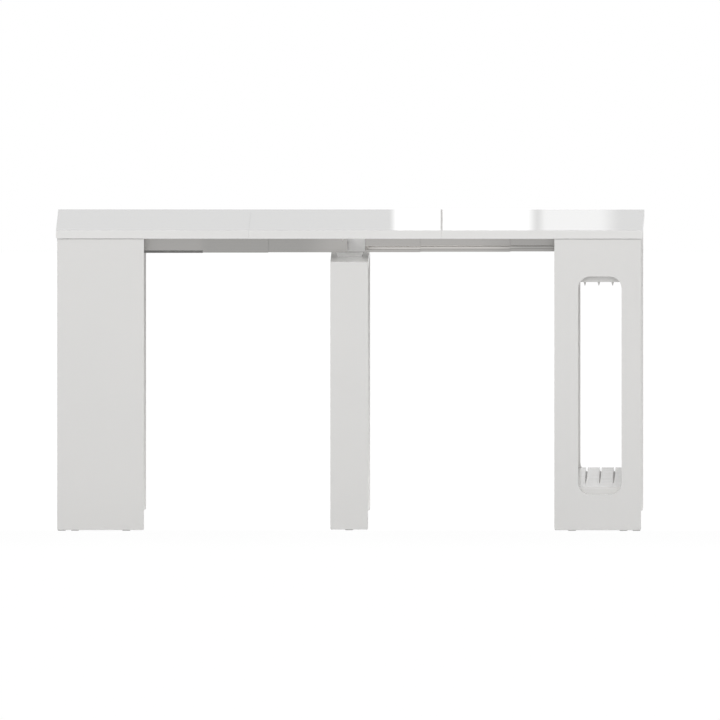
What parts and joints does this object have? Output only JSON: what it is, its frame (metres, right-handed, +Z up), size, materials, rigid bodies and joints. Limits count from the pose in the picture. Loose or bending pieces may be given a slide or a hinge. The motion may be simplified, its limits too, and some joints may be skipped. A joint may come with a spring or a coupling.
{
  "type": "extending console table",
  "caption": "Gloss white extending console table drawn out on telescopic aluminium guides, with lift-off leaves, a nested centre leg frame and a slotted leaf rack in its end leg.",
  "frame": {"origin": "on the floor below the middle of the open table", "axes": "+X along the table to the end with the leaf rack, +Y from the front to the back, +Z up"},
  "size_m": [1.46, 0.9, 0.75],
  "materials": {
    "top_lacquer": "white high-gloss lacquer on board",
    "frame_lacquer": "white satin lacquer on board",
    "guide_aluminium": "satin natural anodised extrusion",
    "bracket_aluminium": "satin",
    "shoe_plastic": "silver-grey moulded",
    "zinc_steel": "zinc plated",
    "dowel_beech": "fluted beech",
    "peg_nylon": "natural nylon",
    "pad_rubber": "dull",
    "foot_plastic": "grey moulded",
    "rack_plastic": "grey extruded strip",
    "edge_seal": "dark grey extruded seal"
  },
  "bodies": {
    "centre_frame": {"centre_back_leg": "frame_lacquer", "centre_beam": "frame_lacquer", "centre_feet": "foot_plastic", "centre_frame_dowels": "dowel_beech", "centre_front_leg": "frame_lacquer", "centre_guide_back": "guide_aluminium", "centre_guide_brackets": "bracket_aluminium", "centre_guide_front": "guide_aluminium", "centre_guide_pads": "pad_rubber", "centre_guide_screws": "zinc_steel", "centre_stretcher": "frame_lacquer"},
    "right_frame": {"fixed_top": "top_lacquer", "leaf_rack_base": "frame_lacquer", "leaf_rack_cap": "frame_lacquer", "rack_divider_strips": "rack_plastic", "rack_guide_ribs": "rack_plastic", "right_back_panel": "frame_lacquer", "right_end_guide_back": "guide_aluminium", "right_end_guide_front": "guide_aluminium", "right_end_panel": "frame_lacquer", "right_feet": "foot_plastic", "right_frame_dowels": "dowel_beech", "right_front_panel": "frame_lacquer", "right_guide_brackets": "bracket_aluminium", "right_guide_screws": "zinc_steel", "right_guide_shelf": "frame_lacquer", "right_top_pads": "pad_rubber", "top_angle_screws": "zinc_steel", "top_angles": "zinc_steel"},
    "left_inner_guides": {"inner_guide_shoes": "shoe_plastic", "left_inner_guide_back": "guide_aluminium", "left_inner_guide_front": "guide_aluminium"},
    "inner_leaf": {"leaf_inner": "top_lacquer", "leaf_inner_pegs": "peg_nylon", "leaf_locating_pins": "peg_nylon"},
    "outer_leaf": {"leaf_outer": "top_lacquer", "leaf_outer_pegs": "peg_nylon"},
    "left_frame": {"left_back_panel": "frame_lacquer", "left_end_guide_back": "guide_aluminium", "left_end_guide_front": "guide_aluminium", "left_end_panel": "frame_lacquer", "left_feet": "foot_plastic", "left_frame_dowels": "dowel_beech", "left_front_panel": "frame_lacquer", "left_guide_brackets": "bracket_aluminium", "left_guide_edge_strips": "edge_seal", "left_guide_screws": "zinc_steel", "left_guide_shelf": "frame_lacquer", "left_top_pads": "pad_rubber"},
    "left_middle_guides": {"left_middle_guide_back": "guide_aluminium", "left_middle_guide_front": "guide_aluminium"},
    "right_middle_guides": {"right_middle_guide_back": "guide_aluminium", "right_middle_guide_front": "guide_aluminium"}
  },
  "joints": [
    {"name": "left_frame_slide", "type": "slide", "parent": "centre_frame", "child": "left_frame", "axis": [-1, 0, 0], "range_m": [0, 0.06]},
    {"name": "left_middle_slide", "type": "slide", "parent": "centre_frame", "child": "left_middle_guides", "axis": [-1, 0, 0], "range_m": [0, 0.0519]},
    {"name": "left_inner_slide", "type": "slide", "parent": "centre_frame", "child": "left_inner_guides", "axis": [-1, 0, 0], "range_m": [0, 0.0216]},
    {"name": "right_frame_slide", "type": "slide", "parent": "centre_frame", "child": "right_frame", "axis": [1, 0, 0], "range_m": [0, 0.06]},
    {"name": "right_middle_slide", "type": "slide", "parent": "centre_frame", "child": "right_middle_guides", "axis": [1, 0, 0], "range_m": [0, 0.0234]},
    {"name": "inner_leaf_lift", "type": "slide", "parent": "centre_frame", "child": "inner_leaf", "axis": [0, 0, 1], "range_m": [0, 0.25]},
    {"name": "outer_leaf_lift", "type": "slide", "parent": "left_frame", "child": "outer_leaf", "axis": [0, 0, 1], "range_m": [0, 0.25]}
  ],
  "couplings": [
    {"joint": "left_middle_slide", "follows": "left_frame_slide", "ratio": 0.865},
    {"joint": "left_inner_slide", "follows": "left_frame_slide", "ratio": 0.36},
    {"joint": "right_middle_slide", "follows": "right_frame_slide", "ratio": 0.39}
  ]
}
